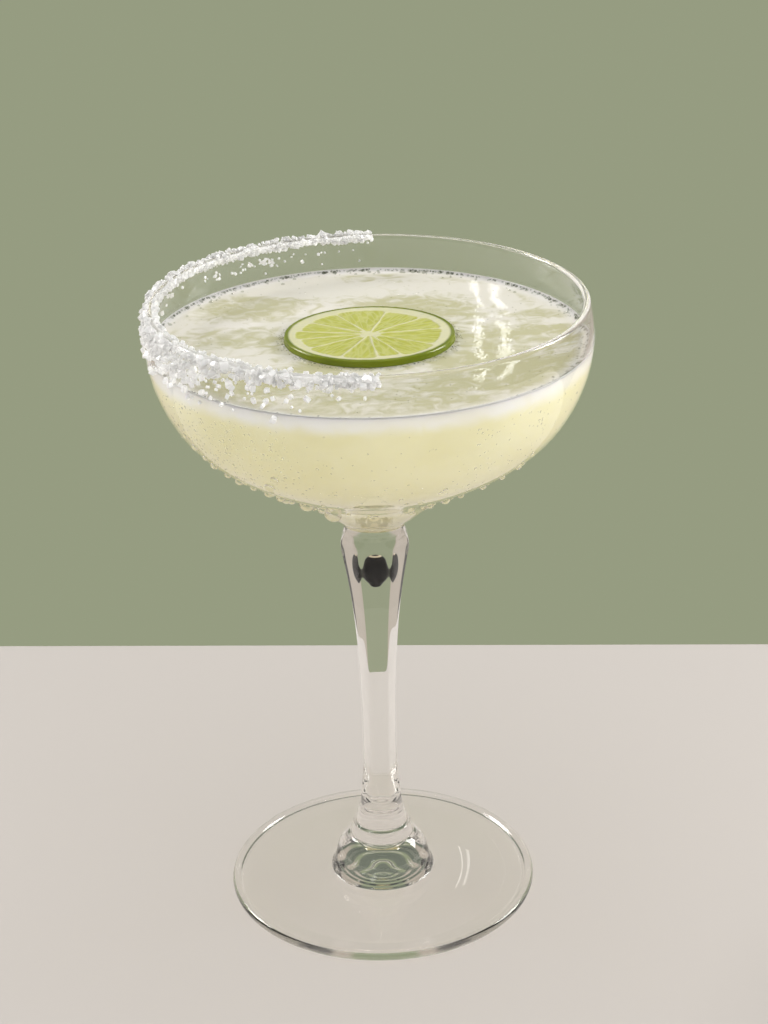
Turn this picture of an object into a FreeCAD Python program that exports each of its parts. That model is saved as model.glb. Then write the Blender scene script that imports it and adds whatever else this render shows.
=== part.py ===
"""Margarita in a stemmed coupe glass, with a half-salted lip and a floating lime wheel.

Millimetres, +Z up. The origin is on the table, under the centre of the foot.
-Y is the side that faces the drinker, and the salt covers the -X half of the lip.
"""
import FreeCAD, Part
import math
import os

V = FreeCAD.Vector
UP = V(0, 0, 1)
DOWN = V(0, 0, -1)

# Glass: overall sizes
glass_height = 153.6        # table to the top of the lip
rim_radius = 50.0           # outside of the lip
foot_radius = 38.05         # outside of the foot
bowl_depth = 53.5           # lip down to the flare of the neck, outside

# Glass: bowl
bowl_bulge = 0.85           # how much wider the bowl is at its widest than at the lip
bowl_wall = 1.3             # at the lip
bowl_low_wall = 2.0         # low in the bowl
floor_thickness = 4.4       # flare of the neck up to the lowest point inside
lip_width = 1.7             # rolled lip
lip_roll = 0.85             # from the sides of the roll up to its top
flare_radius = 9.0
# outline from the widest ring to the flare: share of the depth, share of the widest radius
bowl_outline = ((0.112, 1.0), (0.336, 0.969), (0.561, 0.8325), (0.748, 0.5526), (0.879, 0.3294))
# where the inside is set in from the outside: shares of the way from the lip to the neck
wall_stations = (0.055, 0.13, 0.24, 0.36, 0.48, 0.6, 0.7)
# inside the bottom: share of the flare's radius, share of the floor's thickness above the floor
floor_outline = ((1.35, 0.42), (0.7, 0.12), (0.12, 0))

# Glass: neck, knuckle and stem
neck_radius = 7.14
neck_drop = 2.55            # flare down to the narrowest of the neck
neck_curve = 0.05           # how much wider the neck is halfway up to the flare, of its radius
shoulder_radius = 7.9       # where the knuckle's facets run out
shoulder_drop = 1.2
knuckle_radius = 8.3        # before its facets are cut
knuckle_drop = 4.6          # narrowest of the neck down to the widest of the knuckle
waist_radius = 4.08
stem_foot_radius = 5.25
# outline from the base up to the knuckle: share of the stem's length, radius
stem_outline = ((0.04, 4.95), (0.13, 4.32), (0.27, waist_radius), (0.505, 4.55),
                (0.655, 5.28), (0.775, 6.28), (0.88, 7.6), (0.912, 8.03))
panel_count = 6             # flat panels round the stem, and as many facets between them above
# how deep they are cut: share of the stem's length, their distance from the axis as a share
# of the stem's radius there, and over 1 where they have run out
panel_cut = ((0.028, 1.04), (0.038, 1.0), (0.085, 0.935), (0.14, 0.9), (0.27, 0.892),
             (0.505, 0.892), (0.655, 0.892), (0.775, 0.892), (0.88, 0.892),
             (0.94, 0.855), (0.984, 0.913), (1, 1.03))
facet_cut = ((0.912, 1.006), (0.94, 0.978), (0.963, 0.94), (0.984, 0.918), (1, 1.03))

# Glass: stepped base, from the foot up
bell_radius = 12.1
bell_top = 12.95
bell_outline = ((0.74, 0.6), (1.0, 0.17))   # share of its swell, share of its height
# each tier: bottom, top, radius at the bottom and at the top
tiers = ((13.05, 16.1, 7.75, 7.05), (16.45, 20.4, 6.35, 5.5))
tier_ledge = 0.3            # ledge between the bell and the lowest tier
tier_swell = 0.12           # how far a tier's side bellies out
base_top = 20.75

# Glass: foot
crease_radius = 13.0        # where the bell meets the disc
crease_height = 3.5
disc_edge_height = 1.75     # top of the disc, just inside the rolled edge
edge_roll = 3.15            # width of the rolled edge
edge_height = 2.1
rest_radius = 31.0          # inside of the ring that the glass rests on
hollow_height = 1.4         # hollow under the middle of the foot
hollow_outline = ((0.55, 0.75), (0.06, 1))  # share of the rest's radius, share of the height

# Drink and foam
drink_below_lip = 9.6
foam_at_wall = 3.0          # depth of foam that shows through the bowl
foam_in_middle = 1.2
meniscus_rise = 1.2
meniscus_reach = 2.2

# Lime wheel
lime_radius = 19.3          # cut face
lime_belly = 0.3            # how far the rind swells out between the faces
lime_thickness = 5.0
lime_rise = 1.3             # top face above the drink
lime_offset = 0.4           # towards the back
lime_tilt = 0.9             # degrees, front edge high
pulp_radius = 15.8
pulp_offset = -0.6          # the segments sit a little towards the front
pulp_recess = 0.35
core_radius = 1.9
membrane = 0.7
segment_round = 0.7
membrane_angles = (10, 41, 76, 118, 146, 170, 189, 214, 247, 276, 296, 330)

# Salt crust
salt_start = 88.5           # degrees round the lip from +X, through the back and the left
salt_end = 272.0
salt_sections = 40
salt_proud = 1.0            # above the lip
salt_thickness = 0.8        # beside the lip
salt_inside_drop = 2.1      # down the inside
salt_drop = 2.5             # down the outside, at its least
salt_more_drop = 2.6        # and this much more in the middle of its widest stretch
salt_wide_angle = 215.0
salt_wide_spread = 45.0
salt_unevenness = 0.3

# Worked out from the above
widest_radius = rim_radius + bowl_bulge
widest_drop = bowl_depth * bowl_outline[0][0]
lip_z = glass_height - lip_roll
flare_z = glass_height - bowl_depth
neck_z = flare_z - neck_drop
knuckle_z = neck_z - knuckle_drop
stem_length = neck_z - base_top
floor_z = flare_z + floor_thickness
drink_level = glass_height - drink_below_lip


def at(radius, z):
    """Point of an outline."""
    return V(radius, 0, z)


def smooth(points):
    """Curve through the points."""
    curve = Part.BSplineCurve()
    curve.interpolate(points)
    return curve


def line(start, end):
    return Part.LineSegment(start, end).toShape()


def arc(start, middle, end):
    return Part.Arc(start, middle, end).toShape()


def turned(edges):
    """Solid made by turning a closed outline about the glass's axis."""
    solid = Part.Face(Part.Wire(edges)).revolve(V(0, 0, 0), UP, 360)
    if solid.Volume < 0:
        solid.reverse()
    return solid


def bowl_outside():
    """Outline of the bowl, from the side of the lip down to the narrowest of the neck."""
    points = [at(rim_radius, lip_z)]
    for depth, radius in bowl_outline:
        points.append(at(widest_radius * radius, glass_height - bowl_depth * depth))
    points.append(at(flare_radius, flare_z))
    points.append(at(neck_radius * (1 + neck_curve), neck_z + neck_drop * 0.42))
    points.append(at(neck_radius, neck_z))
    return smooth(points)


def bowl_inside():
    """The outside set in by the wall, from the side of the lip down to the middle of the floor."""
    outside = bowl_outside()
    length = outside.length()
    points = [at(rim_radius - lip_width, lip_z)]
    for share in wall_stations:
        along = outside.parameterAtDistance(length * share, outside.FirstParameter)
        place = outside.value(along)
        direction = outside.tangent(along)[0]
        wall = bowl_wall + (bowl_low_wall - bowl_wall) * share
        points.append(place + V(direction.z, 0, -direction.x) * wall)
    for radius, height in floor_outline:
        points.append(at(flare_radius * radius, floor_z + floor_thickness * height))
    return smooth(points)


def inside_edges():
    """The bowl's inside with the small flat in the middle of its floor."""
    inside = bowl_inside()
    return [inside.toShape(), line(inside.EndPoint, at(0, floor_z))]


def stem_outside():
    """Outline of the stem and knuckle before they are cut, from the base up to the neck."""
    points = [at(stem_foot_radius, base_top)]
    for share, radius in stem_outline:
        points.append(at(radius, base_top + stem_length * share))
    points.append(at(knuckle_radius, knuckle_z))
    points.append(at(shoulder_radius, neck_z - shoulder_drop))
    points.append(at(neck_radius, neck_z))
    return smooth(points)


def base_outline():
    """Edges of the stepped base, from the stem down to the crease round the foot's disc."""
    edges = []
    last = at(stem_foot_radius, base_top)
    for low, high, low_radius, high_radius in reversed(tiers):
        top = at(high_radius, high)
        bottom = at(low_radius, low)
        belly = at((low_radius + high_radius) / 2 + tier_swell, (low + high) / 2)
        edges.append(line(last, top))
        edges.append(arc(top, belly, bottom))
        last = bottom
    ledge = last.x + tier_ledge
    bell = [at(ledge, bell_top)]
    for share, height in bell_outline:
        radius = ledge + (bell_radius - ledge) * share
        bell.append(at(radius, crease_height + (bell_top - crease_height) * height))
    bell.append(at(crease_radius, crease_height))
    edges.append(line(last, bell[0]))
    edges.append(smooth(bell).toShape())
    return edges


def foot_outline():
    """Edges of the foot, from the crease over the disc and its rolled edge to the axis below."""
    inner = foot_radius - edge_roll
    crest = foot_radius - edge_height / 2
    edges = [line(at(crease_radius, crease_height), at(inner, disc_edge_height))]
    edges.append(smooth([at(inner, disc_edge_height), at((inner + crest) / 2, edge_height * 0.94),
                         at(crest, edge_height)]).toShape())
    edges.append(arc(at(crest, edge_height), at(foot_radius, edge_height / 2), at(crest, 0)))
    edges.append(line(at(crest, 0), at(rest_radius, 0)))
    hollow = [at(rest_radius * radius, hollow_height * height) for radius, height in hollow_outline]
    edges.append(smooth([at(rest_radius, 0)] + hollow).toShape())
    edges.append(line(hollow[-1], at(0, hollow[-1].z)))
    return edges


def radius_at(curve, z):
    """Distance from the axis of an outline's curve at a height."""
    level = Part.LineSegment(at(0, z), at(2 * rim_radius, z))
    return curve.intersect(level)[0].X


def side_cutter(cut, turn):
    """What lies outside one flat side of the stem, turned to where that side faces."""
    stem = stem_outside()
    outline = []
    for share, distance in cut:
        z = min(base_top + stem_length * share, neck_z)
        radius = neck_radius if z == neck_z else radius_at(stem, z)
        outline.append(at(radius * distance, z))
    low = outline[0]
    high = outline[-1]
    edges = [smooth(outline).toShape()]
    edges.append(line(high, at(foot_radius, high.z)))
    edges.append(line(at(foot_radius, high.z), at(foot_radius, low.z)))
    edges.append(line(at(foot_radius, low.z), low))
    cutter = Part.Face(Part.Wire(edges)).extrude(V(0, 2 * foot_radius, 0))
    cutter.translate(V(0, -foot_radius, 0))
    cutter.rotate(V(0, 0, 0), UP, turn)
    return cutter


def coupe_glass():
    """The whole glass: lip, bowl, faceted knuckle and stem, stepped base and foot."""
    lip_top = at(rim_radius - lip_width / 2, glass_height)
    edges = [arc(at(rim_radius - lip_width, lip_z), lip_top, at(rim_radius, lip_z))]
    edges.append(bowl_outside().toShape())
    edges.append(stem_outside().toShape())
    edges += base_outline()
    edges += foot_outline()
    edges.append(line(at(0, hollow_height), at(0, floor_z)))
    edges += inside_edges()
    glass = turned(edges)
    spacing = 360 / panel_count
    for number in range(panel_count):
        across_front = 90 + spacing * number
        glass = glass.cut(side_cutter(panel_cut, across_front))
        glass = glass.cut(side_cutter(facet_cut, across_front + spacing / 2))
    return glass


def bowl_space():
    """Everything inside the bowl, up to the lip."""
    middle = at(0, lip_z)
    edges = [line(middle, at(rim_radius - lip_width, lip_z))]
    edges += inside_edges()
    edges.append(line(at(0, floor_z), middle))
    return turned(edges)


def foam_block():
    """The foam before it is trimmed to the bowl: thin in the middle, turned up at the wall."""
    wall = radius_at(bowl_inside(), drink_level)
    flat_end = at(wall - meniscus_reach, drink_level)
    upturn = at(wall - meniscus_reach * 0.42, drink_level + meniscus_rise * 0.28)
    high = at(wall + bowl_wall / 8, drink_level + meniscus_rise)
    corners = [high, at(widest_radius, high.z), at(widest_radius, drink_level - foam_at_wall),
               at(flat_end.x, drink_level - foam_at_wall), at(0, drink_level - foam_in_middle),
               at(0, drink_level), flat_end]
    edges = [arc(flat_end, upturn, high)]
    for start, end in zip(corners, corners[1:]):
        edges.append(line(start, end))
    return turned(edges)


def foam_layer():
    return bowl_space().common(foam_block()).cut(lime_blank())


def margarita():
    """The drink: what is under the foam, cut round the sunk part of the lime wheel."""
    height = drink_level - floor_z
    below = Part.makeCylinder(widest_radius, height, V(0, 0, floor_z))
    return bowl_space().common(below).cut(foam_block()).cut(lime_blank())


def float_lime(shape):
    """Puts a shape made with its top face at the origin where the lime wheel floats."""
    shape.rotate(V(0, 0, 0), V(1, 0, 0), -lime_tilt)
    shape.translate(V(0, lime_offset, drink_level + lime_rise))
    return shape


def lime_disc():
    """Plain slice with its curved rind, top face at z = 0."""
    top = at(lime_radius, 0)
    bottom = at(lime_radius, -lime_thickness)
    edges = [line(at(0, 0), top)]
    edges.append(arc(top, at(lime_radius + lime_belly, -lime_thickness / 2), bottom))
    edges.append(line(bottom, at(0, -lime_thickness)))
    edges.append(line(at(0, -lime_thickness), at(0, 0)))
    return turned(edges)


def lime_blank():
    return float_lime(lime_disc())


def segment(first, last):
    """Outline of the pulp between two membranes, with rounded corners."""
    spread = [first + (last - first) * step / 6 for step in range(7)]
    outer = [V(pulp_radius * math.cos(math.radians(a)), pulp_radius * math.sin(math.radians(a)), 0)
             for a in spread]
    inner = [V(core_radius * math.cos(math.radians(a)), core_radius * math.sin(math.radians(a)), 0)
             for a in (last, first)]
    face = Part.Face(Part.makePolygon(outer + inner + outer[:1]))
    shrunk = face.makeOffset2D(-membrane / 2 - segment_round)
    return shrunk.makeOffset2D(segment_round)


def lime_wheel():
    """Slice of lime: rind, pith and membranes standing a little above the pulp on both faces."""
    wheel = lime_disc()
    turns = list(membrane_angles) + [membrane_angles[0] + 360]
    for first, last in zip(turns, turns[1:]):
        pulp = segment(first, last)
        pulp.translate(V(0, pulp_offset, 0))
        wheel = wheel.cut(pulp.extrude(DOWN * pulp_recess))
        pulp.translate(DOWN * lime_thickness)
        wheel = wheel.cut(pulp.extrude(UP * pulp_recess))
    return float_lime(wheel)


def salt_ripple(angle, shift):
    """Uneven surface of the crust, between -1 and 1."""
    turn = math.radians(angle)
    return 0.5 * math.sin(17 * turn + shift) + 0.5 * math.sin(29 * turn + 2.3 * shift)


def salt_section(angle):
    """Ring of points round the lip: up the outside, over the top and down the inside."""
    wide = math.exp(-((angle - salt_wide_angle) / salt_wide_spread) ** 2)
    drop = salt_drop + salt_more_drop * wide + 2 * salt_unevenness * salt_ripple(angle, 1)
    out = salt_thickness + salt_unevenness * salt_ripple(angle, 2)
    top = salt_proud + salt_unevenness * salt_ripple(angle, 3)
    within = salt_thickness + salt_unevenness * salt_ripple(angle, 4)
    swell = bowl_bulge * math.sin(math.pi / 2 * min(1, drop / widest_drop))
    wall = rim_radius + swell
    lip_inside = rim_radius - lip_width
    # radius and height of each point, some of them shares of what they stand out or hang down
    ring = ((wall - bowl_wall / 2, glass_height - drop),
            (wall + out * 0.4, glass_height - drop + 0.1),
            (rim_radius + bowl_bulge * 0.7 + out, glass_height - drop * 0.55),
            (rim_radius + out, glass_height - lip_roll),
            (rim_radius - lip_width * 0.1, glass_height + top * 0.85),
            (lip_inside + lip_width * 0.25, glass_height + top),
            (lip_inside - within, glass_height - lip_roll * 0.6),
            (lip_inside - within * 0.8, glass_height - salt_inside_drop * 0.8),
            (rim_radius - lip_width / 2, glass_height - salt_inside_drop))
    turn = math.radians(angle)
    return [V(radius * math.cos(turn), radius * math.sin(turn), z) for radius, z in ring]


def salt_crust():
    """Crust of salt round half of the lip, before the lip is cut out of it."""
    step = (salt_end - salt_start) / salt_sections
    rings = [salt_section(salt_start + step * number) for number in range(salt_sections + 1)]
    count = len(rings[0])
    faces = []
    for ring, following in zip(rings, rings[1:]):
        for number in range(count):
            beside = (number + 1) % count
            for corners in ((ring[number], ring[beside], following[beside]),
                            (ring[number], following[beside], following[number])):
                faces.append(Part.Face(Part.makePolygon(list(corners) + [corners[0]])))
    for ring in (rings[0], rings[-1]):
        for number in range(1, count - 1):
            faces.append(Part.Face(Part.makePolygon([ring[0], ring[number], ring[number + 1], ring[0]])))
    crust = Part.Solid(Part.Shell(faces))
    if crust.Volume < 0:
        crust.reverse()
    return crust


pieces = {
    "coupe_glass": coupe_glass(),
    "margarita": margarita(),
    "foam_layer": foam_layer(),
    "lime_wheel": lime_wheel(),
}
pieces["salt_rim"] = salt_crust().cut(pieces["coupe_glass"]).removeSplitter()

os.makedirs("parts", exist_ok=True)
for name, shape in pieces.items():
    shape.exportStep(os.path.join("parts", name + ".step"))
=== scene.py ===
import math
import random

import bmesh
import bpy
import numpy as np
from mathutils import Matrix, Vector, noise


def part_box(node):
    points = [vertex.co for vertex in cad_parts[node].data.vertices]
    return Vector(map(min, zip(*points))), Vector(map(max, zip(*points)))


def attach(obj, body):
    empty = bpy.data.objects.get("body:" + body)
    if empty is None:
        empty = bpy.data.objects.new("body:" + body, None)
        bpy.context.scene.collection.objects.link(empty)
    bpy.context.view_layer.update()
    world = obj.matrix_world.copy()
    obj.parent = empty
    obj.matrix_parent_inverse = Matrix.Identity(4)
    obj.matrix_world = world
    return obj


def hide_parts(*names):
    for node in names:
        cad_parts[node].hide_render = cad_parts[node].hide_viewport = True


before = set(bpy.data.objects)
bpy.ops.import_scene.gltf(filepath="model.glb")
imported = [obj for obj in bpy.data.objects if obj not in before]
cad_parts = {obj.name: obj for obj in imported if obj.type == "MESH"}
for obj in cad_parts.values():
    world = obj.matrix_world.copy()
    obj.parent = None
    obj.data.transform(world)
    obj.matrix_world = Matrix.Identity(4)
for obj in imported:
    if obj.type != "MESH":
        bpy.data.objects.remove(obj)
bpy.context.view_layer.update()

MM = 0.001


# ---- Coupe glass ---------------------------------------------------------------------------
# Clear soda-lime glass, pressed and blown in one piece: a thin bowl with a fire-rounded lip, a
# knuckle and a six-sided stem with flat panels, a stepped base and a broad foot with a rolled
# edge. It is hollow only in the bowl, and slightly under the foot.

# in millimetres: heights above the table, radii and thicknesses
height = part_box("coupe_glass")[1].z / MM
rim = 50.0
bulge = 0.85
bowl_depth = 53.5
flare_z = height - bowl_depth
neck_z = flare_z - 2.55
base_top = 20.75
stem_length = neck_z - base_top
knuckle_z = base_top + 0.9 * stem_length
floor_z = flare_z + 4.4
lip_width = 1.7
lip_z = height - lip_width / 2
wall_thin = 1.3
wall_thick = 2.0
foot = 38.05


def through(points, count):
    """Smooth curve through a few points, as count + 1 points at even steps."""
    place = np.array(points, float)
    step = np.linalg.norm(np.diff(place, axis=0), axis=1)
    along = np.concatenate([[0], np.cumsum(step)])
    size = len(along)
    left = np.eye(size)
    right = np.zeros((size, place.shape[1]))
    for i in range(1, size - 1):
        left[i, i - 1] = step[i - 1]
        left[i, i] = 2 * (step[i - 1] + step[i])
        left[i, i + 1] = step[i]
        right[i] = 6 * ((place[i + 1] - place[i]) / step[i] - (place[i] - place[i - 1]) / step[i - 1])
    bend = np.linalg.solve(left, right)
    result = []
    for t in np.linspace(0, along[-1], count + 1):
        i = min(int(np.searchsorted(along, t, side="right")) - 1, size - 2)
        h = step[i]
        a = (along[i + 1] - t) / h
        b = (t - along[i]) / h
        result.append(a * place[i] + b * place[i + 1]
                      + ((a ** 3 - a) * bend[i] + (b ** 3 - b) * bend[i + 1]) * h * h / 6)
    return np.array(result)


def straight(start, end, count):
    """Points from start to end, closer together near both ends so that the corners stay crisp."""
    shares = (1 - np.cos(np.linspace(0, math.pi, count + 1))) / 2
    return np.array([np.array(start) * (1 - s) + np.array(end) * s for s in shares])


def roll(centre, radius, first, last, count):
    """Part of a circle, between two angles in degrees."""
    turn = np.radians(np.linspace(first, last, count + 1))
    return np.array([(centre[0] + radius * math.cos(a), centre[1] + radius * math.sin(a)) for a in turn])


def join(*runs):
    """One outline from several that meet end to end."""
    outline = list(runs[0])
    for run in runs[1:]:
        outline += list(run[1:])
    return np.array(outline)


def new_piece(name, points, faces):
    """Smooth piece from points in metres and faces."""
    mesh = bpy.data.meshes.new(name)
    mesh.from_pydata(points, [], faces)
    mesh.shade_smooth()
    piece = bpy.data.objects.new(name, mesh)
    bpy.context.scene.collection.objects.link(piece)
    return piece


def lathe(name, outline, turns, side=None):
    """Closed body turned from an outline whose two ends are put on the axis; side may shape a ring."""
    angle = np.linspace(0, 2 * math.pi, turns, endpoint=False)
    points = [(0, 0, outline[0][1])]
    for radius, z in outline[1:-1]:
        ring = np.full(turns, radius) if side is None else side(radius, z, angle)
        points += list(zip(ring * np.cos(angle), ring * np.sin(angle), np.full(turns, z)))
    points.append((0, 0, outline[-1][1]))
    rings = len(outline) - 2
    faces = []
    for i in range(turns):
        j = (i + 1) % turns
        faces.append((0, 1 + j, 1 + i))
        for k in range(rings - 1):
            a = 1 + k * turns
            b = a + turns
            faces.append((a + i, a + j, b + j, b + i))
        last = 1 + (rings - 1) * turns
        faces.append((last + i, last + j, last + turns))
    return new_piece(name, np.array(points) * MM, faces)


# the bowl's outside: share of its depth under the lip, share of its widest radius
outline_shares = ((0.112, 1.0), (0.336, 0.969), (0.561, 0.8325), (0.748, 0.5526), (0.879, 0.3294))
widest = rim + bulge
neck = (7.14, neck_z)
bowl_points = [(rim, lip_z)]
bowl_points += [(widest * radius, height - bowl_depth * depth) for depth, radius in outline_shares]
bowl_points += [(9.0, flare_z), (7.5, neck_z + 1.07), neck]
bowl_outside = through(bowl_points, 84)

# the inside, at a wall's thickness from it
travel = np.concatenate([[0], np.cumsum(np.linalg.norm(np.diff(bowl_outside, axis=0), axis=1))])
inside_points = [(rim - lip_width, lip_z)]
for share in (0.055, 0.13, 0.24, 0.36, 0.48, 0.6, 0.7):
    i = int(np.searchsorted(travel, travel[-1] * share))
    heading = bowl_outside[i + 1] - bowl_outside[i - 1]
    heading /= np.linalg.norm(heading)
    wall = wall_thin + (wall_thick - wall_thin) * share
    inside_points.append(tuple(bowl_outside[i] + wall * np.array([heading[1], -heading[0]])))
inside_points += [(12.15, floor_z + 1.85), (6.3, floor_z + 0.53), (1.08, floor_z)]
bowl_inside = through(inside_points, 80)

# the stem: share of its length, radius
stem_shares = ((0.04, 4.95), (0.13, 4.32), (0.27, 4.08), (0.505, 4.55), (0.655, 5.28),
               (0.775, 6.28), (0.88, 7.6), (0.912, 8.03))
stem_foot = (5.25, base_top)
stem_points = [stem_foot]
stem_points += [(radius, base_top + stem_length * share) for share, radius in stem_shares]
stem_points += [(8.3, neck_z - 4.6), (7.9, neck_z - 1.2), neck]
stem_outside = through(stem_points, 104)

# flat sides: share of the stem's length, and distance from the axis as a share of the radius there
panel_cut = np.array([(0.028, 1.04), (0.038, 1.0), (0.085, 0.935), (0.14, 0.9), (0.27, 0.892),
                      (0.505, 0.892), (0.655, 0.892), (0.775, 0.892), (0.88, 0.892),
                      (0.94, 0.855), (0.984, 0.913), (1, 1.03)])
facet_cut = np.array([(0.912, 1.006), (0.94, 0.978), (0.963, 0.94), (0.984, 0.918), (1, 1.03)])
# how crisp the edges between the flats are, on the stem and on the knuckle
stem_crisp = 40
knuckle_crisp = 150


def flat_side(cut, z):
    """How far a flat side is from the axis at a height, or far away where there is none."""
    share = (z - base_top) / stem_length
    if share < cut[0, 0] or share > 1:
        return 1e3
    radius = np.interp(z, stem_outside[:, 1], stem_outside[:, 0])
    return radius * np.interp(share, cut[:, 0], cut[:, 1])


def stem_side(radius, z, angle):
    """Round, cut by six panels and, on the knuckle, six facets, all with softly rounded edges."""
    if not base_top < z < neck_z:
        return np.full(len(angle), radius)
    sharp = stem_crisp if z < knuckle_z else knuckle_crisp
    near = (1 / radius) ** sharp
    for k in range(6):
        to_panel = np.maximum(np.cos(angle - math.radians(90 + 60 * k)), 0)
        to_facet = np.maximum(np.cos(angle - math.radians(120 + 60 * k)), 0)
        near = near + (to_panel / flat_side(panel_cut, z)) ** sharp
        near = near + (to_facet / flat_side(facet_cut, z)) ** sharp
    return near ** (-1 / sharp)


# corners of the foot and of the stepped base: radius, height
rest_ring = (31.0, 0)
roll_radius = 1.05
groove_end = (foot - 3.3, 1.22)
bell_foot = (13.0, 3.5)
bell_top = (8.05, 12.95)
low_tier_foot = (7.75, 13.05)
low_tier_top = (7.05, 16.1)
high_tier_foot = (6.35, 16.45)
high_tier_top = (5.5, 20.4)

hollow = through([(0, 1.4), (1.86, 1.4), (17.05, 1.05), rest_ring], 96)
# faint rings that the mould leaves under the middle of the foot
mould_rise = 0.09
mould_pitch = 2.1
mould_reach = 11.0
fade = np.clip((mould_reach - hollow[:, 0]) / 4.0, 0, 1)
start = np.clip(hollow[:, 0] / 0.6, 0, 1)
rings = mould_rise * np.sin(hollow[:, 0] * 2 * math.pi / mould_pitch) * fade * start
under = hollow + np.stack([0 * rings, rings], axis=1)
rest = straight(rest_ring, (foot - roll_radius, 0), 6)
edge = roll((foot - roll_radius, roll_radius), roll_radius, -90, 90, 16)
edge_top = through([(foot - roll_radius, 2 * roll_radius), (foot - 1.8, 1.8), (foot - 2.4, 1.32),
                    groove_end], 14)
disc = straight(groove_end, bell_foot, 22)
bell = through([bell_foot, (12.1, 5.11), (11.04, 9.17), bell_top], 18)
ledge = straight(bell_top, low_tier_foot, 3)
low_tier = through([low_tier_foot, (7.52, 14.575), low_tier_top], 9)
step = straight(low_tier_top, high_tier_foot, 4)
high_tier = through([high_tier_foot, (6.045, 18.425), high_tier_top], 9)
shoulder = straight(high_tier_top, stem_foot, 3)
lip = roll((rim - lip_width / 2, lip_z), lip_width / 2, 0, 180, 16)
outer = join(under, rest, edge, edge_top, disc, bell, ledge, low_tier, step, high_tier, shoulder,
             stem_outside, bowl_outside[::-1])
glass_outline = join(outer, lip, bowl_inside, [bowl_inside[-1], (0, floor_z)])
glass = lathe("coupe", glass_outline, 204, stem_side)


def new_material(name):
    """Material with a node tree that holds one Principled shader, and that shader."""
    material = bpy.data.materials.new(name)
    material.use_nodes = True
    shader = material.node_tree.nodes["Principled BSDF"]
    return material, shader


def lets_light_through(material, shader, tint):
    """Light from lamps and from matt things passes the clear surface, dimmed a little."""
    tree = material.node_tree
    path = tree.nodes.new("ShaderNodeLightPath")
    clear = tree.nodes.new("ShaderNodeBsdfTransparent")
    clear.inputs["Color"].default_value = tint
    shown = shader.outputs["BSDF"]
    for kind in ("Is Shadow Ray", "Is Diffuse Ray"):
        mix = tree.nodes.new("ShaderNodeMixShader")
        tree.links.new(path.outputs[kind], mix.inputs["Fac"])
        tree.links.new(shown, mix.inputs[1])
        tree.links.new(clear.outputs["BSDF"], mix.inputs[2])
        shown = mix.outputs["Shader"]
    tree.links.new(shown, tree.nodes["Material Output"].inputs["Surface"])


clear_glass, shader = new_material("clear_glass")
shader.inputs["Base Color"].default_value = (0.995, 0.99, 0.975, 1)
shader.inputs["Transmission Weight"].default_value = 1
shader.inputs["Roughness"].default_value = 0
shader.inputs["IOR"].default_value = 1.5
lets_light_through(clear_glass, shader, (0.985, 0.98, 0.97, 1))
glass.data.materials.append(clear_glass)
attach(glass, "root")
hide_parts("coupe_glass")


# ---- Drop in the stem ----------------------------------------------------------------------
# A small drop closed in at the top of the stem when the glass was made: a ball with a short tail,
# painted nearly black as painted shade, with one pale ring round its top as a painted highlight.
# There is clear glass all round it.
drop_outline = through([(0.02, 82.6), (1.1, 82.9), (1.6, 83.6), (2.3, 84.5), (2.85, 86.4), (2.75, 88.6),
                        (2.05, 90.3), (0.02, 91.2)], 50)
air_drop = lathe("air_drop", drop_outline, 64)


def blend_colour(tree, factor, first, second):
    """Colour that goes from the first to the second; either may be a socket."""
    node = tree.nodes.new("ShaderNodeMix")
    node.data_type = "RGBA"
    tree.links.new(factor, node.inputs["Factor"])
    for title, colour in (("A", first), ("B", second)):
        if isinstance(colour, tuple):
            node.inputs[title].default_value = (*colour, 1)
        else:
            tree.links.new(colour, node.inputs[title])
    return node.outputs["Result"]


def step_up(tree, value, low, high):
    """Smooth step from 0 at low to 1 at high; the other way where low is above high."""
    node = tree.nodes.new("ShaderNodeMapRange")
    node.interpolation_type = "SMOOTHSTEP"
    node.inputs["From Min"].default_value = low
    node.inputs["From Max"].default_value = high
    tree.links.new(value, node.inputs["Value"])
    return node.outputs["Result"]


painted_drop, shader = new_material("drop_painted_shade_and_highlight")
tree = painted_drop.node_tree
place = tree.nodes.new("ShaderNodeTexCoord")
where = tree.nodes.new("ShaderNodeSeparateXYZ")
tree.links.new(place.outputs["Object"], where.inputs["Vector"])
# painted shade and highlight: the drop is coloured near black, with a pale painted highlight near its
# top
painted_shade_black = (0.001, 0.001, 0.001)
pale = (0.62, 0.53, 0.42)
over = where.outputs["Z"]
# painted highlight: a pale ring round the top of the drop, from 90.62 to 91.02 mm up
ring = blend_colour(tree, step_up(tree, over, 90.62 * MM, 90.76 * MM), painted_shade_black, pale)
ring = blend_colour(tree, step_up(tree, over, 90.9 * MM, 91.02 * MM), ring, painted_shade_black)
tree.links.new(ring, shader.inputs["Base Color"])
shader.inputs["Roughness"].default_value = 0.3
shader.inputs["Specular IOR Level"].default_value = 0.08
air_drop.data.materials.append(painted_drop)
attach(air_drop, "root")
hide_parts("coupe_glass")


# ---- Drink ---------------------------------------------------------------------------------
# Tequila, orange liqueur and lime juice, shaken: a cloudy pale yellow-green liquid that light
# goes a few millimetres into. It is poured up to about ten millimetres under the lip, and it
# wets the glass, so its side reaches just into the wall.
level = 144.0
into_wall = 0.25
up_wall = 0.72
tuck_in = 1.9
tuck_down = 0.7
foam_depth = 3.0
foam_under = 1.2


def wall_inside(z):
    """Inside radius of the bowl at a height."""
    rising = bowl_inside[::-1]
    return float(np.interp(z, rising[:, 1], rising[:, 0]))


def wetted(low, high, count, into=into_wall):
    """The bowl's inside between two heights, set just into the wall."""
    heights = np.linspace(low, high, count + 1)
    run = []
    for z in heights:
        slope = (wall_inside(z + 0.1) - wall_inside(z - 0.1)) / 0.2
        lean = math.hypot(1, slope)
        run.append((wall_inside(z) + into / lean, z - into * slope / lean))
    return np.array(run)


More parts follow.
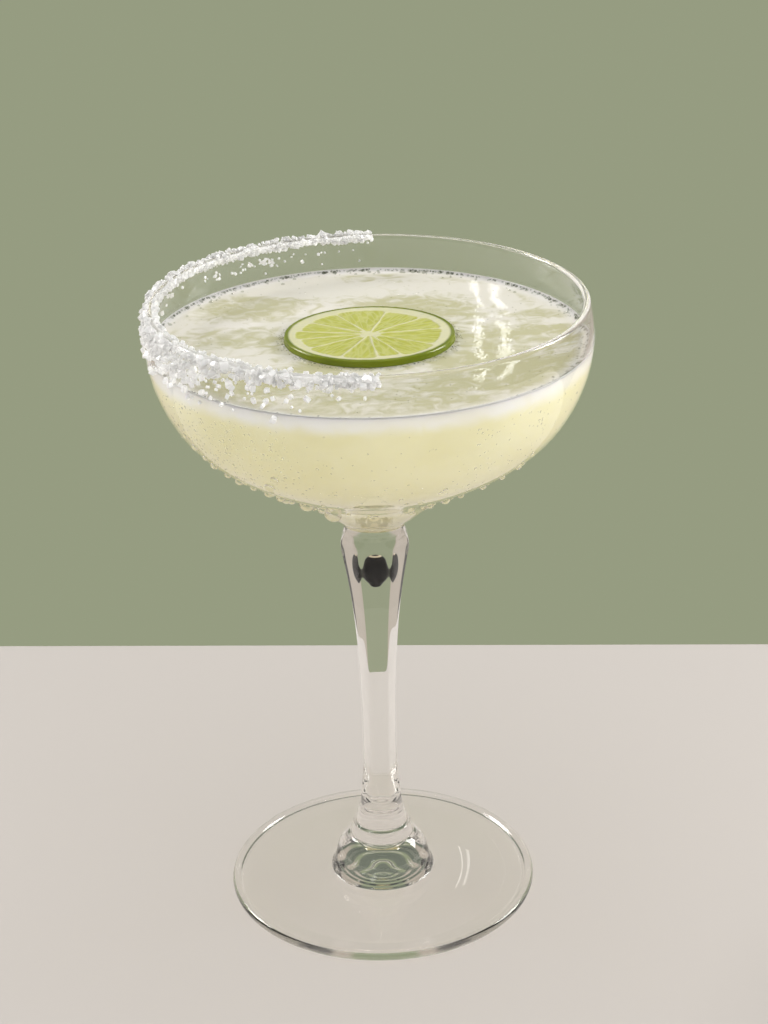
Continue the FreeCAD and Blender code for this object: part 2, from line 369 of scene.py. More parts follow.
# the drink goes up the wall behind the foam, and is tucked in under it
drink_side = wetted(floor_z + 0.35, level + up_wall, 90)
drink_bottom = straight((0, floor_z - into_wall), tuple(drink_side[0]), 8)
tucked = (drink_side[-1][0] - tuck_in, level - tuck_down)
drink_tuck = straight(tuple(drink_side[-1]), tucked, 4)
drink_top = straight(tucked, (0, level - foam_under), 20)
drink = lathe("drink", join(drink_bottom, drink_side, drink_tuck, drink_top), 160)


def patches(tree, vector, scale, detail, distortion):
    """Noise over the piece, 0 to 1."""
    node = tree.nodes.new("ShaderNodeTexNoise")
    node.inputs["Scale"].default_value = scale
    node.inputs["Detail"].default_value = detail
    node.inputs["Distortion"].default_value = distortion
    tree.links.new(vector, node.inputs["Vector"])
    return node.outputs["Fac"]


def add(tree, value, other, times):
    """Value plus a multiple of another."""
    node = tree.nodes.new("ShaderNodeMath")
    node.operation = "MULTIPLY_ADD"
    node.inputs[1].default_value = times
    tree.links.new(other, node.inputs[0])
    tree.links.new(value, node.inputs[2])
    return node.outputs["Value"]


cloudy, shader = new_material("cloudy_drink")
tree = cloudy.node_tree
place = tree.nodes.new("ShaderNodeTexCoord")
swirl = patches(tree, place.outputs["Object"], 38, 3, 0.6)
liquid = blend_colour(tree, step_up(tree, swirl, 0.3, 0.72), (0.83, 0.797, 0.51), (0.89, 0.863, 0.605))
# the foam against the wall, whiter where it is thicker, fading downward into the drink
froth_side = blend_colour(tree, step_up(tree, swirl, 0.38, 0.6), (0.90, 0.88, 0.76), (0.95, 0.94, 0.87))
where = tree.nodes.new("ShaderNodeSeparateXYZ")
tree.links.new(place.outputs["Object"], where.inputs["Vector"])
ragged = patches(tree, place.outputs["Object"], 160, 4, 1.2)
rise = add(tree, add(tree, where.outputs["Z"], ragged, 2.4 * MM), swirl, 2.5 * MM)
band = step_up(tree, rise, (level - foam_depth + 1.0) * MM, (level - foam_depth + 4.2) * MM)
tree.links.new(blend_colour(tree, band, liquid, froth_side), shader.inputs["Base Color"])
shader.inputs["Subsurface Weight"].default_value = 1
shader.inputs["Subsurface Radius"].default_value = (1.0, 1.0, 0.92)
shader.inputs["Subsurface Scale"].default_value = 1.5 * MM
shader.inputs["Roughness"].default_value = 0.3
shader.inputs["Specular IOR Level"].default_value = 0.05
drink.data.materials.append(cloudy)
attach(drink, "root")
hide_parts("margarita")


# ---- Foam ----------------------------------------------------------------------------------
# Shaking leaves a thin skin of very small bubbles on the drink: thick and white where it gathers
# against the wall, and drawn out in thin streaks over the rest, where the drink shows through.
# Its edge climbs a little up the glass, and round the lime.
lime_low, lime_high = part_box("lime_wheel")
lime_middle = ((lime_low.x + lime_high.x) / 2 / MM, (lime_low.y + lime_high.y) / 2 / MM)
lime_edge = (lime_high.x - lime_low.x) / 2 / MM
climb = 0.8
climb_reach = 2.2
lime_climb = 0.35
lime_climb_reach = 1.3
lime_overlap = 0.5
around = 240
across = 70
foam_wall = float(wetted(level, level + 0.1, 1)[0][0])
foam_top = float(wetted(level + climb, level + climb + 0.1, 1)[0][0])
# the foam's edge in the wall, and then its side a little inside the glass, from the top down
foam_side = [*wetted(level + 0.5, level + climb - 0.04, 4, into_wall - 0.03)[::-1],
             *wetted(level - foam_depth, level, 2, -0.35)[::-1]]


def foam_height(x, y, to_wall, to_lime):
    """Height of the drink's surface: a few shallow ripples, climbing at the wall and the lime."""
    ripple = noise.noise(Vector((x * 0.11, y * 0.11, 3.1))) * 0.045
    ripple += noise.noise(Vector((x * 0.42, y * 0.30, 7.7))) * 0.010
    up = climb * max(0.0, 1 - to_wall / climb_reach) ** 2
    up += lime_climb * max(0.0, 1 - to_lime / lime_climb_reach) ** 2
    return level + up + ripple * min(1, to_wall / 3)


foam_points = []
to_wall_value = []
for i in range(around):
    turn = 2 * math.pi * i / around
    near = np.array([lime_middle[0] + (lime_edge - lime_overlap) * math.cos(turn),
                     lime_middle[1] + (lime_edge - lime_overlap) * math.sin(turn)])
    far = np.array([foam_top * math.cos(turn), foam_top * math.sin(turn)])
    length = np.linalg.norm(far - near)
    for k in range(across + 1):
        share = 1 - (1 - k / across) ** 1.6
        x, y = near + (far - near) * share
        to_wall = foam_top - math.hypot(x, y)
        foam_points.append((x, y, foam_height(x, y, to_wall, share * length)))
        to_wall_value.append(to_wall)
    for radius, z in foam_side:
        foam_points.append((radius * math.cos(turn), radius * math.sin(turn), z))
        to_wall_value.append(0.0)
    foam_points.append((near[0], near[1], level - foam_under - 0.6))
    to_wall_value.append(20.0)
row = across + 1 + len(foam_side) + 1
foam_faces = []
for i in range(around):
    j = (i + 1) % around
    for k in range(row):
        n = (k + 1) % row
        foam_faces.append((i * row + k, i * row + n, j * row + n, j * row + k))
foam = new_piece("foam", np.array(foam_points) * MM, foam_faces)
attribute = foam.data.attributes.new("to_wall", "FLOAT", "POINT")
attribute.data.foreach_set("value", to_wall_value)


def read(tree, title):
    """One of the values that the mesh holds at its points."""
    node = tree.nodes.new("ShaderNodeAttribute")
    node.attribute_name = title
    return node.outputs["Fac"]


froth, shader = new_material("thin_foam")
tree = froth.node_tree
place = tree.nodes.new("ShaderNodeTexCoord")
stretch = tree.nodes.new("ShaderNodeMapping")
stretch.inputs["Scale"].default_value = (0.7, 1.25, 1)
stretch.inputs["Rotation"].default_value = (0, 0, 0.3)
tree.links.new(place.outputs["Object"], stretch.inputs["Vector"])
broad = patches(tree, stretch.outputs["Vector"], 34, 4, 1.0)
fine = patches(tree, place.outputs["Object"], 190, 5, 1.5)
# whiter toward the back and the left, yellower toward the front
where = tree.nodes.new("ShaderNodeSeparateXYZ")
tree.links.new(place.outputs["Object"], where.inputs["Vector"])
whiter = add(tree, add(tree, broad, where.outputs["X"], -0.9), where.outputs["Y"], 1.3)
thin = step_up(tree, add(tree, whiter, fine, 0.55), 0.66, 0.90)
surface = blend_colour(tree, thin, (0.55, 0.53, 0.35), (0.77, 0.745, 0.68))
gathered = step_up(tree, add(tree, read(tree, "to_wall"), fine, 5), 6.6, 3.2)
surface = blend_colour(tree, gathered, surface, (0.83, 0.81, 0.775))
tree.links.new(surface, shader.inputs["Base Color"])
shader.inputs["Subsurface Weight"].default_value = 1
shader.inputs["Subsurface Radius"].default_value = (1.0, 1.0, 0.95)
shader.inputs["Subsurface Scale"].default_value = 1.2 * MM
shader.inputs["Roughness"].default_value = 0.03
shader.inputs["IOR"].default_value = 1.34
tiny = tree.nodes.new("ShaderNodeTexVoronoi")
tiny.inputs["Scale"].default_value = 1400
bump = tree.nodes.new("ShaderNodeBump")
bump.inputs["Strength"].default_value = 0.02
bump.inputs["Distance"].default_value = 0.2 * MM
tree.links.new(place.outputs["Object"], tiny.inputs["Vector"])
tree.links.new(tiny.outputs["Distance"], bump.inputs["Height"])
tree.links.new(bump.outputs["Normal"], shader.inputs["Normal"])
foam.data.materials.append(froth)
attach(foam, "root")
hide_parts("foam_layer")


# ---- Bubbles -------------------------------------------------------------------------------
# Single bubbles of the shaken drink that float where the foam ends: a dark beaded line of clear
# domes against the wall, and finer ones round the lime and scattered over the surface. Their grey
# tint is painted shade that makes them dark.
def dome_shape(rings, turns, sink):
    """Points and faces of a unit dome that reaches a little below its base."""
    lowest = -math.asin(sink)
    points = [(0, 0, 1)]
    for k in range(1, rings + 1):
        tilt = math.pi / 2 - (math.pi / 2 - lowest) * k / rings
        for i in range(turns):
            turn = 2 * math.pi * (i + 0.5 * (k % 2)) / turns
            out = math.cos(tilt)
            points.append((out * math.cos(turn), out * math.sin(turn), math.sin(tilt)))
    faces = [(0, 1 + i, 1 + (i + 1) % turns) for i in range(turns)]
    for k in range(rings - 1):
        a = 1 + k * turns
        b = a + turns
        for i in range(turns):
            j = (i + 1) % turns
            faces.append((a + i, b + i, b + j, a + j))
    last = 1 + (rings - 1) * turns
    faces.append(tuple(last + i for i in reversed(range(turns))))
    return np.array(points), faces


def scatter(name, kinds, places):
    """One mesh of many small bodies. A place is a kind, a position, a 3x3 frame and sizes."""
    points = []
    faces = []
    count = 0
    for kind, position, turn, size in places:
        shape, sides = kinds[kind]
        points.append((shape * np.array(size)) @ np.array(turn).T + np.array(position))
        faces += [tuple(count + v for v in side) for side in sides]
        count += len(shape)
    return new_piece(name, np.concatenate(points) * MM, faces)


dice = random.Random(11)
small_dome = dome_shape(4, 10, 0.35)
bubble_places = []
far_off = 9     # so far from the wall or the lime that the surface doesn't climb


def float_bubble(x, y, to_wall, to_lime, size):
    """Puts one bubble on the foam, a little sunk in."""
    z = foam_height(x, y, to_wall, to_lime) - size * 0.15
    bubble_places.append((0, (x, y, z), np.eye(3), (size, size, size * 0.85)))


# along the wall: most at the back, few in front
for i in range(800):
    turn = dice.uniform(0, 2 * math.pi)
    back = 0.5 + 0.5 * math.sin(turn)
    if dice.random() > 0.15 + 1.6 * back:
        continue
    size = dice.uniform(0.15, 0.28) + 0.26 * dice.random() ** 3 * (0.4 + back)
    inward = size * 0.7 + abs(dice.gauss(0, 0.25 if i % 4 else 1.4))
    radius = wall_inside(level + climb * 0.6) - inward
    float_bubble(radius * math.cos(turn), radius * math.sin(turn), foam_wall - radius, far_off, size)
# round the lime
for i in range(420):
    turn = dice.uniform(0, 2 * math.pi)
    outward = 0.15 + abs(dice.gauss(0, 0.8))
    x = lime_middle[0] + (lime_edge + outward) * math.cos(turn)
    y = lime_middle[1] + (lime_edge + outward) * math.sin(turn)
    float_bubble(x, y, far_off, outward + 0.3, dice.uniform(0.09, 0.24))
# over the surface
for i in range(260):
    turn = dice.uniform(0, 2 * math.pi)
    radius = math.sqrt(dice.uniform(21 ** 2, 46 ** 2))
    size = dice.uniform(0.07, 0.2)
    float_bubble(radius * math.cos(turn), radius * math.sin(turn), foam_wall - radius, far_off, size)
bubbles = scatter("bubbles", [small_dome], bubble_places)

film, shader = new_material("bubble_film_painted_shade")
# painted shade: a grey tint darkens what is seen through the clear domes
shader.inputs["Base Color"].default_value = (0.42, 0.44, 0.38, 1)
shader.inputs["Transmission Weight"].default_value = 1
shader.inputs["Roughness"].default_value = 0.02
shader.inputs["IOR"].default_value = 1.33
lets_light_through(film, shader, (0.9, 0.9, 0.88, 1))
bubbles.data.materials.append(film)
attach(bubbles, "root")


# ---- Lime wheel ----------------------------------------------------------------------------
# One slice from the middle of a small lime, five millimetres thick: a thin waxy green rind, white
# pith, and twelve uneven segments of wet pale-green juice sacs between thin membranes that run
# out from a pale core. It floats with its front edge a little high.
slice_thick = 5.0
slice_radius = 19.3
belly = 0.3
pulp_reach = 16.3
pulp_shift = -0.6
membranes = (10, 41, 76, 118, 146, 170, 189, 214, 247, 276, 296, 330)
membrane_wide = 0.42
core_wide = 2.1
lime_tilt = 0.9
lime_top = level + 1.3
pulp_sink = 0.22
spokes = 460
hoops = 90
rind_rows = 11


def segment_cover(x, y):
    """How far inside its segment of pulp a point is, the segment's number, and the point's distance
    from the segment's middle line and from the core, in millimetres."""
    x, y = x, y - pulp_shift
    radius = math.hypot(x, y)
    turn = math.degrees(math.atan2(y, x)) % 360
    number = 0
    while number < len(membranes) and turn >= membranes[number]:
        number += 1
    first = membranes[number - 1] - (360 if number == 0 else 0)
    last = membranes[number % len(membranes)] + (360 if number == len(membranes) else 0)
    wander = 0.25 * noise.noise(Vector((radius * 0.25, number * 3.7, 1.5)))
    half = math.radians(last - first) / 2
    off = math.radians(turn - (first + last) / 2)
    to_side = radius * math.sin(max(0.0, half - abs(off))) - membrane_wide / 2
    to_side += wander * min(1, radius / 6)
    reach = pulp_reach * (1 + 0.035 * math.sin(number * 2.4))
    reach += 0.12 * noise.noise(Vector((turn * 0.2, 0, 4)))
    to_edge = reach - radius
    to_core = radius - core_wide - 0.9 * math.sin(number * 1.7 + 1)
    corner = 1.3
    if to_side < corner and to_edge < corner:
        inside = corner - math.hypot(corner - to_side, corner - to_edge)
    else:
        inside = min(to_side, to_edge)
    return min(inside, to_core), number, off * radius, radius


lime_points = []
pulp_value = []
rind_value = []
sac_value = []
for side in (1, -1):
    for k in range(hoops + 1):
        share = k / hoops
        for i in range(spokes):
            turn = 2 * math.pi * i / spokes
            radius = slice_radius * share
            x = radius * math.cos(turn)
            y = radius * math.sin(turn)
            depth, number, off, out = segment_cover(x, y)
            cover = min(1.0, max(0.0, depth / 0.35 + 0.5))
            spot = Vector((out * 0.20 + number, off * 0.85 + number * 5, number * 2.0))
            cell = noise.voronoi(spot)[0]
            sac = min(1.0, (cell[1] - cell[0]) * 3.0)
            z = -pulp_sink * cover * (1 - 0.4 * sac) if side == 1 else pulp_sink * cover
            z += 0.035 * noise.noise(Vector((x * 0.9, y * 0.9, 5 * side)))
            top = 0 if side == 1 else -slice_thick
            lime_points.append((x, y, top + z))
            pulp_value.append(cover)
            rind_value.append(min(1.0, max(0.0, (radius - slice_radius + 1.15) / 0.5)))
            sac_value.append(sac)
    if side == 1:
        for k in range(1, rind_rows + 1):
            share = k / (rind_rows + 1)
            out = slice_radius + 4 * belly * share * (1 - share) + 0.12 * math.sin(math.pi * share)
            for i in range(spokes):
                turn = 2 * math.pi * i / spokes
                pore = noise.noise(Vector((math.cos(turn) * 14, math.sin(turn) * 14, share * 4)))
                radius = out + 0.05 * pore
                x = radius * math.cos(turn)
                y = radius * math.sin(turn)
                lime_points.append((x, y, -slice_thick * share))
                pulp_value.append(0.0)
                rind_value.append(1.0)
                sac_value.append(0.5 + 0.5 * pore)
side_rows = hoops + 1 + rind_rows
order = list(range(side_rows)) + list(range(side_rows + hoops, side_rows - 1, -1))
lime_faces = []
for above, below in zip(order, order[1:]):
    a = above * spokes
    b = below * spokes
    for i in range(spokes):
        j = (i + 1) % spokes
        lime_faces.append((a + i, b + i, b + j, a + j))


def face_outward(mesh, joined=0):
    """Turns all faces outward; points closer together than a distance are joined first."""
    body = bmesh.new()
    body.from_mesh(mesh)
    if joined:
        bmesh.ops.remove_doubles(body, verts=body.verts, dist=joined)
    bmesh.ops.recalc_face_normals(body, faces=body.faces)
    body.to_mesh(mesh)
    body.free()


lean = Matrix.Rotation(math.radians(-lime_tilt), 4, "X")
shift = Matrix.Translation(Vector((0, 0.4, lime_top)))
lime = new_piece("lime_slice", [(shift @ lean @ Vector(p)) * MM for p in lime_points], lime_faces)
for title, values in (("pulp", pulp_value), ("rind", rind_value), ("sac", sac_value)):
    attribute = lime.data.attributes.new(title, "FLOAT", "POINT")
    attribute.data.foreach_set("value", values)
face_outward(lime.data, 0.002 * MM)

flesh, shader = new_material("lime")
tree = flesh.node_tree
place = tree.nodes.new("ShaderNodeTexCoord")
patch = patches(tree, place.outputs["Object"], 90, 4, 0)
juice = blend_colour(tree, patch, (0.40, 0.42, 0.065), (0.54, 0.55, 0.125))
sacs = blend_colour(tree, read(tree, "sac"), (0.56, 0.57, 0.19), juice)
pith = blend_colour(tree, patch, (0.63, 0.62, 0.39), (0.73, 0.71, 0.49))
face = blend_colour(tree, read(tree, "pulp"), pith, sacs)
skin = blend_colour(tree, patch, (0.075, 0.115, 0.006), (0.25, 0.29, 0.02))
whole = blend_colour(tree, read(tree, "rind"), face, skin)
tree.links.new(whole, shader.inputs["Base Color"])
shader.inputs["Subsurface Weight"].default_value = 0.6
shader.inputs["Subsurface Radius"].default_value = (1.0, 1.0, 0.4)
shader.inputs["Subsurface Scale"].default_value = 1.5 * MM
shader.inputs["Roughness"].default_value = 0.22
shader.inputs["IOR"].default_value = 1.36
shader.inputs["Coat Weight"].default_value = 0.1
shader.inputs["Coat Roughness"].default_value = 0.08
lime.data.materials.append(flesh)
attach(lime, "root")
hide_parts("lime_wheel")


# ---- Salt ----------------------------------------------------------------------------------
# Coarse salt that a wetted half of the lip was pressed into: a thin damp crust of fine grains on
# both sides of the lip, which itself stays nearly bare, and clear to white crystals about a
# millimetre across stuck in and on it. At the front left they run further down the bowl.
salt_from = 88.5    # degrees round the lip
salt_to = 272.0
crystal_half = 0.58


def wall_outside(z):
    """Outside radius of the bowl at a height."""
    rising = bowl_outside[::-1]
    return float(np.interp(z, rising[:, 1], rising[:, 0]))


def crust(name, outside):
    """Thin uneven strip on one side of the lip."""
    steps = 260
    rows = 7
    points = []
    for i in range(steps + 1):
        turn = math.radians(salt_from + (salt_to - salt_from) * i / steps)
        reach = noise.noise(Vector((turn * 14, 0.5, 2 if outside else 6)))
        wide = math.exp(-((math.degrees(turn) - 215) / 45) ** 2)
        drop = 0.9 + 0.8 * reach + (0.4 * wide if outside else 0.1)
        ends = min(1, i / 4, (steps - i) / 4)
        for k in range(rows):
            share = k / (rows - 1)
            z = height - 0.25 - drop * share
            thick = (0.06 + 0.14 * math.sin(math.pi * share) * (0.7 + 0.6 * reach)) * ends
            top = min(z, lip_z)
            radius = wall_outside(top) + thick if outside else wall_inside(top) - thick
            points.append((radius * math.cos(turn), radius * math.sin(turn), z))
        middle = wall_outside(height - 2) - 0.4 if outside else wall_inside(height - 2) + 0.4
        for z in (height - 0.25 - drop, height - 0.5):
            points.append((middle * math.cos(turn), middle * math.sin(turn), z))
    ring = rows + 2
    faces = []
    for i in range(steps):
        for k in range(ring):
            n = (k + 1) % ring
            faces.append((i * ring + k, i * ring + n, (i + 1) * ring + n, (i + 1) * ring + k))
    faces.append(tuple(range(ring)))
    faces.append(tuple(steps * ring + k for k in reversed(range(ring))))
    strip = new_piece(name, np.array(points) * MM, faces)
    face_outward(strip.data)
    return strip


def crystal_shape(seed):
    """Chipped cube: a cube with jittered corners and some of them cut off."""
    dice = random.Random(seed)
    body = bmesh.new()
    for sx in (-1, 1):
        for sy in (-1, 1):
            for sz in (-1, 1):
                if dice.random() < 0.45:
                    cut = dice.uniform(0.35, 0.8)
                    body.verts.new((sx * (1 - cut), sy, sz))
                    body.verts.new((sx, sy * (1 - cut), sz))
                    body.verts.new((sx, sy, sz * (1 - cut)))
                else:
                    x, y, z = (dice.uniform(0.75, 1) for _ in range(3))
                    body.verts.new((sx * x, sy * y, sz * z))
    bmesh.ops.convex_hull(body, input=body.verts)
    loose = [v for v in body.verts if not v.link_faces]
    bmesh.ops.delete(body, geom=loose, context="VERTS")
    body.verts.index_update()
    points = np.array([v.co[:] for v in body.verts]) * crystal_half
    faces = [tuple(v.index for v in f.verts) for f in body.faces]
    body.free()
    return points, faces


def any_turn(dice):
    """Random rotation as a 3x3 frame."""
    draws = [dice.gauss(0, 1) for _ in range(4)]
    size = math.sqrt(sum(v * v for v in draws))
    w, x, y, z = (v / size for v in draws)
    return np.array([[1 - 2 * (y * y + z * z), 2 * (x * y - z * w), 2 * (x * z + y * w)],
                     [2 * (x * y + z * w), 1 - 2 * (x * x + z * z), 2 * (y * z - x * w)],
                     [2 * (x * z - y * w), 2 * (y * z + x * w), 1 - 2 * (x * x + y * y)]])


dice = random.Random(29)
crystals = [crystal_shape(seed) for seed in range(14)]
salt_places = []


def stick(turn, z, stand, size, outside):
    """Puts one crystal on the bowl's side."""
    a = math.radians(turn)
    top = min(z, lip_z)
    radius = wall_outside(top) + stand if outside else wall_inside(top) - stand
    sizes = [size * dice.uniform(0.75, 1.2) for _ in range(3)]
    salt_places.append((dice.randrange(len(crystals)), (radius * math.cos(a), radius * math.sin(a), z),
                        any_turn(dice), sizes))


# the crust: crystals outside, inside and on top of the lip, with fine ones between them
for i in range(560):
    turn = dice.uniform(salt_from, salt_to)
    wide = math.exp(-((turn - 212) / 42) ** 2)
    fall = dice.random() ** 1.1 * (1.7 + 1.2 * wide)
    size = dice.uniform(0.5, 0.95) if dice.random() < 0.85 else dice.uniform(1.0, 1.35)
    start = 0.2 if turn < 175 else -0.25
    stick(turn, height + start - fall, size * dice.uniform(0.25, 0.7), size, True)
for i in range(340):
    turn = dice.uniform(salt_from, salt_to)
    fall = dice.random() ** 1.1 * 1.5
    size = dice.uniform(0.5, 0.95)
    stick(turn, height - 0.1 - fall, size * dice.uniform(0.2, 0.55), size, False)
for i in range(36):
    turn = dice.uniform(salt_from, salt_to)
    size = dice.uniform(0.5, 0.9)
    stick(turn, height + 0.1 + size * 0.3, -lip_width * dice.choice((0.1, 0.2, 0.85, 0.95)), size, True)
for i in range(800):
    turn = dice.uniform(salt_from, salt_to)
    outside = dice.random() < 0.6
    fall = dice.random() * (2.2 if outside else 1.6)
    size = dice.uniform(0.25, 0.5)
    stick(turn, height - 0.1 - fall, size * 0.35, size, outside)
# fallen crystals: down the outside at the front left, and inside there and at the back
for i in range(250):
    turn = min(dice.gauss(214, 22), dice.uniform(200, 262))
    size = dice.uniform(0.4, 1.15)
    stick(turn, height - 3 - abs(dice.gauss(0, 2.7)), size * 0.35, size, True)
for i in range(110):
    turn = dice.gauss(212, 24)
    size = dice.uniform(0.35, 0.85)
    stick(turn, height - 2.4 - abs(dice.gauss(0, 1.6)), size * 0.35, size, False)
for i in range(60):
    turn = max(dice.gauss(118, 14), salt_from + 3)
    size = dice.uniform(0.3, 0.6)
    stick(turn, height - 3.5 - abs(dice.gauss(0, 1.6)), size * 0.3, size, False)
grains = scatter("salt_crystals", crystals, salt_places)
grains.data.shade_flat()
crust_outside = crust("salt_crust_outside", True)
crust_inside = crust("salt_crust_inside", False)

salt, shader = new_material("salt")
shader.inputs["Base Color"].default_value = (1, 1, 0.995, 1)
shader.inputs["Transmission Weight"].default_value = 0.2
shader.inputs["Roughness"].default_value = 0.28
shader.inputs["IOR"].default_value = 1.5
shader.inputs["Subsurface Weight"].default_value = 0.8
shader.inputs["Subsurface Radius"].default_value = (1, 1, 1)
shader.inputs["Subsurface Scale"].default_value = 1.2 * MM
tree = salt.node_tree
place = tree.nodes.new("ShaderNodeTexCoord")
frost = tree.nodes.new("ShaderNodeTexNoise")
frost.inputs["Scale"].default_value = 1600
bump = tree.nodes.new("ShaderNodeBump")
bump.inputs["Strength"].default_value = 0.35
bump.inputs["Distance"].default_value = 0.1 * MM
tree.links.new(place.outputs["Object"], frost.inputs["Vector"])
tree.links.new(frost.outputs["Fac"], bump.inputs["Height"])
tree.links.new(bump.outputs["Normal"], shader.inputs["Normal"])
lets_light_through(salt, shader, (0.9, 0.9, 0.9, 1))
for piece in (grains, crust_outside, crust_inside):
    piece.data.materials.append(salt)
    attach(piece, "root")
    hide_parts("salt_rim")


# ---- Condensation --------------------------------------------------------------------------
# The drink is cold, so water from the air beads on the outside of the bowl below its level: a
# fine dew, some of it run together in tracks, and larger drops hanging along the lower side.
def on_bowl(turn, z):
    """Point on the bowl's outside, and a frame there whose third axis points out of the glass."""
    radius = wall_outside(z)
    slope = (wall_outside(z + 0.3) - wall_outside(z - 0.3)) / 0.6
    lean = math.hypot(1, slope)
    out = np.array([math.cos(turn) / lean, math.sin(turn) / lean, -slope / lean])
    across_it = np.array([-math.sin(turn), math.cos(turn), 0])
    down = np.cross(out, across_it)
    where = np.array([radius * math.cos(turn), radius * math.sin(turn), z])
    return where, np.stack([across_it, down, out], axis=1)


dice = random.Random(47)
large_dome = dome_shape(7, 18, 0.3)
# dew: all round, thickest at the front left, and in narrow tracks
fine_places = []
for i in range(1500):
    z = level - 3 - (level - flare_z - 14) * dice.random()
    if i % 3 == 0:
        turn = dice.uniform(0, 2 * math.pi)
    elif i % 3 == 1:
        turn = math.radians(dice.gauss(222, 13))
    else:
        turn = math.radians(dice.choice((214, 232, 247, 300, 318, 30, 75, 120)) + dice.gauss(0, 3.5))
    where, turned = on_bowl(turn, z)
    size = dice.uniform(0.07, 0.17) + 0.2 * dice.random() ** 6
    fine_places.append((0, where, turned, (size, size * dice.uniform(1, 1.3), size * 0.26)))
# larger drops low down
large_places = []
for i in range(60):
    z = flare_z + 7 + 18 * dice.random() ** 1.3
    turn = math.radians(dice.choice((225, 300, 60, 130)) + dice.gauss(0, 22))
    where, turned = on_bowl(turn, z)
    size = dice.uniform(0.3, 0.6)
    large_places.append((0, where, turned, (size, size * dice.uniform(1.0, 1.35), size * 0.55)))
# hanging drops: height, degrees round the bowl, size
hanging = ((131.0, -150, 0.6), (128.5, -148, 0.8), (126.0, -146, 0.7), (124.0, -145, 0.9),
           (121.5, -143, 0.8), (119.5, -142, 1.0), (117.5, -140, 0.8), (115.5, -138, 1.1),
           (120.0, -42, 0.7), (123.0, -40, 0.8), (126.0, -38, 0.6),
           (126.8, -118, 0.9), (123.4, -122, 1.2), (119.6, -126, 0.8), (117.0, -127, 1.1),
           (115.2, -129, 1.2), (113.6, -131, 1.0), (111.6, -128, 1.7), (109.4, -131, 0.9),
           (108.6, -127, 1.0), (106.6, -124, 2.0), (107.6, -62, 0.8), (110.2, -55, 0.9),
           (112.5, -52, 1.1), (114.8, -50, 0.8), (117.6, -46, 0.8))
for z, turn, size in hanging:
    where, turned = on_bowl(math.radians(turn), z)
    large_places.append((0, where, turned, (size, size * 1.1, size * 0.8)))
fine_dew = scatter("fine_dew", [small_dome], fine_places)
drops = scatter("hanging_drops", [large_dome], large_places)

water, shader = new_material("water")
shader.inputs["Base Color"].default_value = (1, 1, 1, 1)
shader.inputs["Transmission Weight"].default_value = 1
shader.inputs["Roughness"].default_value = 0
shader.inputs["IOR"].default_value = 1.33
lets_light_through(water, shader, (0.95, 0.95, 0.95, 1))
for piece in (fine_dew, drops):
    piece.data.materials.append(water)
    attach(piece, "root")


# ---- Table, backdrop and light -------------------------------------------------------------
# A pale matt table in a quiet sage-green room, lit by large soft lamps: behind on the left, on
# the right, overhead and in front. Two narrow ones behind show as windows in the drink.
table_size = (1400, 1200, 20)
table_back = 125
table_top = -0.12
table_turn = -2.8
table_mesh = bpy.data.meshes.new("table")
body = bmesh.new()
bmesh.ops.create_cube(body, size=MM)
bmesh.ops.scale(body, verts=body.verts, vec=table_size)
table_middle = Vector((0, table_back - table_size[1] / 2, table_top - table_size[2] / 2)) * MM
bmesh.ops.translate(body, verts=body.verts, vec=table_middle)
bmesh.ops.bevel(body, geom=body.edges, offset=1.5 * MM, segments=3, profile=0.5, affect="EDGES")
turned = Matrix.Rotation(math.radians(table_turn), 3, "Z")
bmesh.ops.rotate(body, verts=body.verts, cent=(0, table_back * MM, 0), matrix=turned)
body.to_mesh(table_mesh)
body.free()
table = bpy.data.objects.new("table", table_mesh)
bpy.context.scene.collection.objects.link(table)
stone, shader = new_material("pale_table")
shader.inputs["Base Color"].default_value = (0.53, 0.497, 0.475, 1)
shader.inputs["Roughness"].default_value = 0.6
table.data.materials.append(stone)

scene = bpy.context.scene
world = bpy.data.worlds.new("room")
world.use_nodes = True
scene.world = world
tree = world.node_tree
look = tree.nodes.new("ShaderNodeTexCoord")
parts = tree.nodes.new("ShaderNodeSeparateXYZ")
tree.links.new(look.outputs["Generated"], parts.inputs["Vector"])

# sage wall straight behind, warm beige to its sides, dark farther round and on the near side,
# so that clear glass gets its dark lines
aside = tree.nodes.new("ShaderNodeMath")
aside.operation = "ABSOLUTE"
tree.links.new(parts.outputs["X"], aside.inputs[0])
flank = step_up(tree, aside.outputs["Value"], 0.26, 0.38)
far_round = step_up(tree, aside.outputs["Value"], 0.695, 0.745)
behind = step_up(tree, parts.outputs["Y"], -0.35, 0.15)
aloft = step_up(tree, parts.outputs["Z"], 0.42, 0.62)
sage = (0.305, 0.333, 0.22)
beige = (0.50, 0.44, 0.37)
wall = blend_colour(tree, flank, sage, beige)
wall = blend_colour(tree, aloft, wall, (0.16, 0.18, 0.14))
wall = blend_colour(tree, far_round, wall, (0.03, 0.03, 0.03))
room = blend_colour(tree, behind, (0.07, 0.07, 0.07), wall)
tree.links.new(room, tree.nodes["Background"].inputs["Color"])
tree.nodes["Background"].inputs["Strength"].default_value = 1.0


def soft_lamp(name, place, aim, size, power, colour, mirrored=True, seen_through=True):
    """Flat lamp, aimed at a point; it may be left out of reflections and of views through glass."""
    lamp = bpy.data.lights.new(name, "AREA")
    lamp.shape = "RECTANGLE"
    lamp.size = size[0] * MM
    lamp.size_y = size[1] * MM
    lamp.energy = power
    lamp.color = colour
    body = bpy.data.objects.new(name, lamp)
    body.location = Vector(place) * MM
    body.rotation_euler = (Vector(aim) - Vector(place)).to_track_quat("-Z", "Y").to_euler()
    body.visible_glossy = mirrored
    body.visible_transmission = seen_through
    scene.collection.objects.link(body)


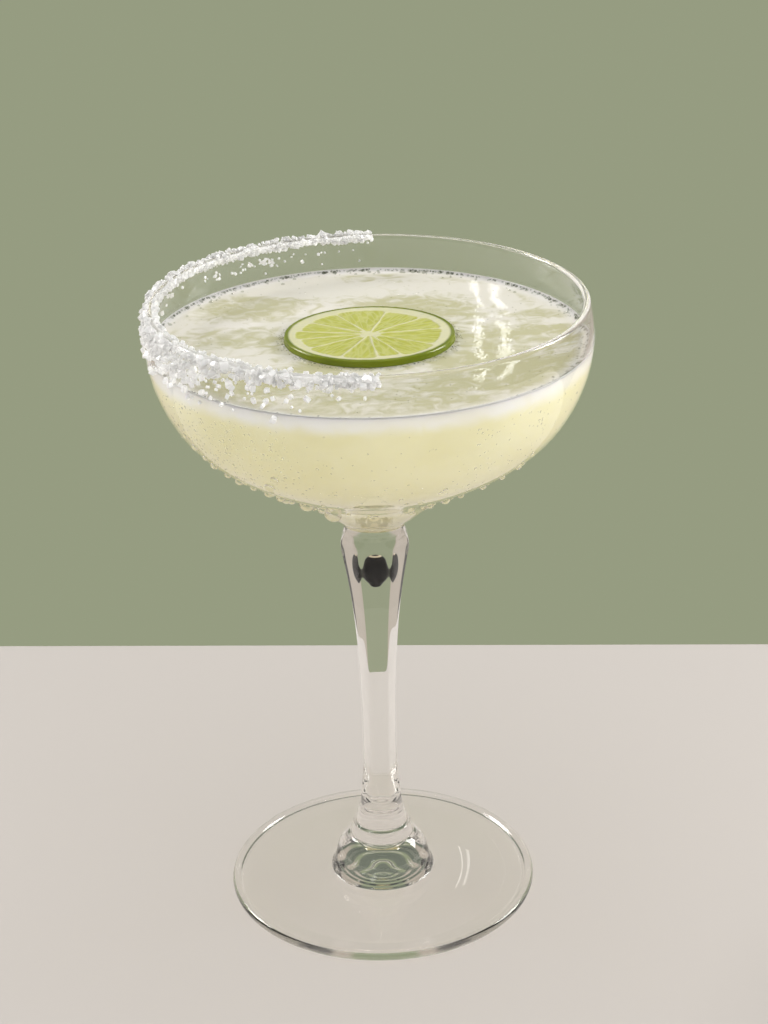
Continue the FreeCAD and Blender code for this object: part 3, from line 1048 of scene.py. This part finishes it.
warm = (1, 0.99, 0.97)
soft_lamp("lamp_left_back", (-900, 520, 820), (0, 0, 110), (420, 420), 10.5, (1, 0.97, 0.94),
          seen_through=False)
soft_lamp("lamp_right", (760, 260, 520), (0, 0, 130), (260, 420), 5.5, (1, 0.98, 0.97),
          seen_through=False)
soft_lamp("lamp_above", (0, -100, 1300), (0, 0, 100), (1200, 1200), 4.4, (1, 0.99, 1),
          seen_through=False)
# these three only light the matt pieces, and are not seen in the glass
soft_lamp("lamp_front", (-250, -1500, 260), (0, 0, 100), (900, 500), 8.8, warm, False, False)
soft_lamp("lamp_left_front", (-1150, -500, 380), (0, 0, 110), (420, 700), 3.6, warm, False, False)
soft_lamp("lamp_right_front", (1150, -420, 380), (0, 0, 110), (420, 700), 7.5, warm, False, False)
# these two are there for their reflections in the drink
soft_lamp("lamp_window", (48, 420, 283), (0, 0, 140), (2.2, 44), 0.0011, (1, 1, 1))
soft_lamp("lamp_second_window", (58, 420, 283), (0, 0, 140), (4, 44), 0.0016, (1, 1, 1))

# camera: 24 degrees above, in front of the drinker's side, turned very slightly
lens_from = Vector((0, -463.8, 310.4)) * MM
pitch, yaw, tip = math.radians(24.33), math.radians(0.29), math.radians(-1.32)
forward = Vector((math.sin(yaw) * math.cos(pitch), math.cos(yaw) * math.cos(pitch), -math.sin(pitch)))
right = forward.cross(Vector((0, 0, 1))).normalized()
upward = right.cross(forward)
right_tipped = right * math.cos(tip) + upward * math.sin(tip)
up_tipped = upward * math.cos(tip) - right * math.sin(tip)
camera_data = bpy.data.cameras.new("camera")
camera_data.lens = 76.0
camera_data.sensor_width = 36
camera = bpy.data.objects.new("camera", camera_data)
facing = Matrix((right_tipped, up_tipped, -forward)).transposed().to_4x4()
camera.matrix_world = Matrix.Translation(lens_from) @ facing
scene.collection.objects.link(camera)
scene.camera = camera
scene.view_settings.view_transform = "Standard"
scene.cycles.caustics_refractive = False
scene.cycles.caustics_reflective = False
scene.cycles.max_bounces = 24
scene.cycles.transmission_bounces = 20
scene.cycles.glossy_bounces = 20
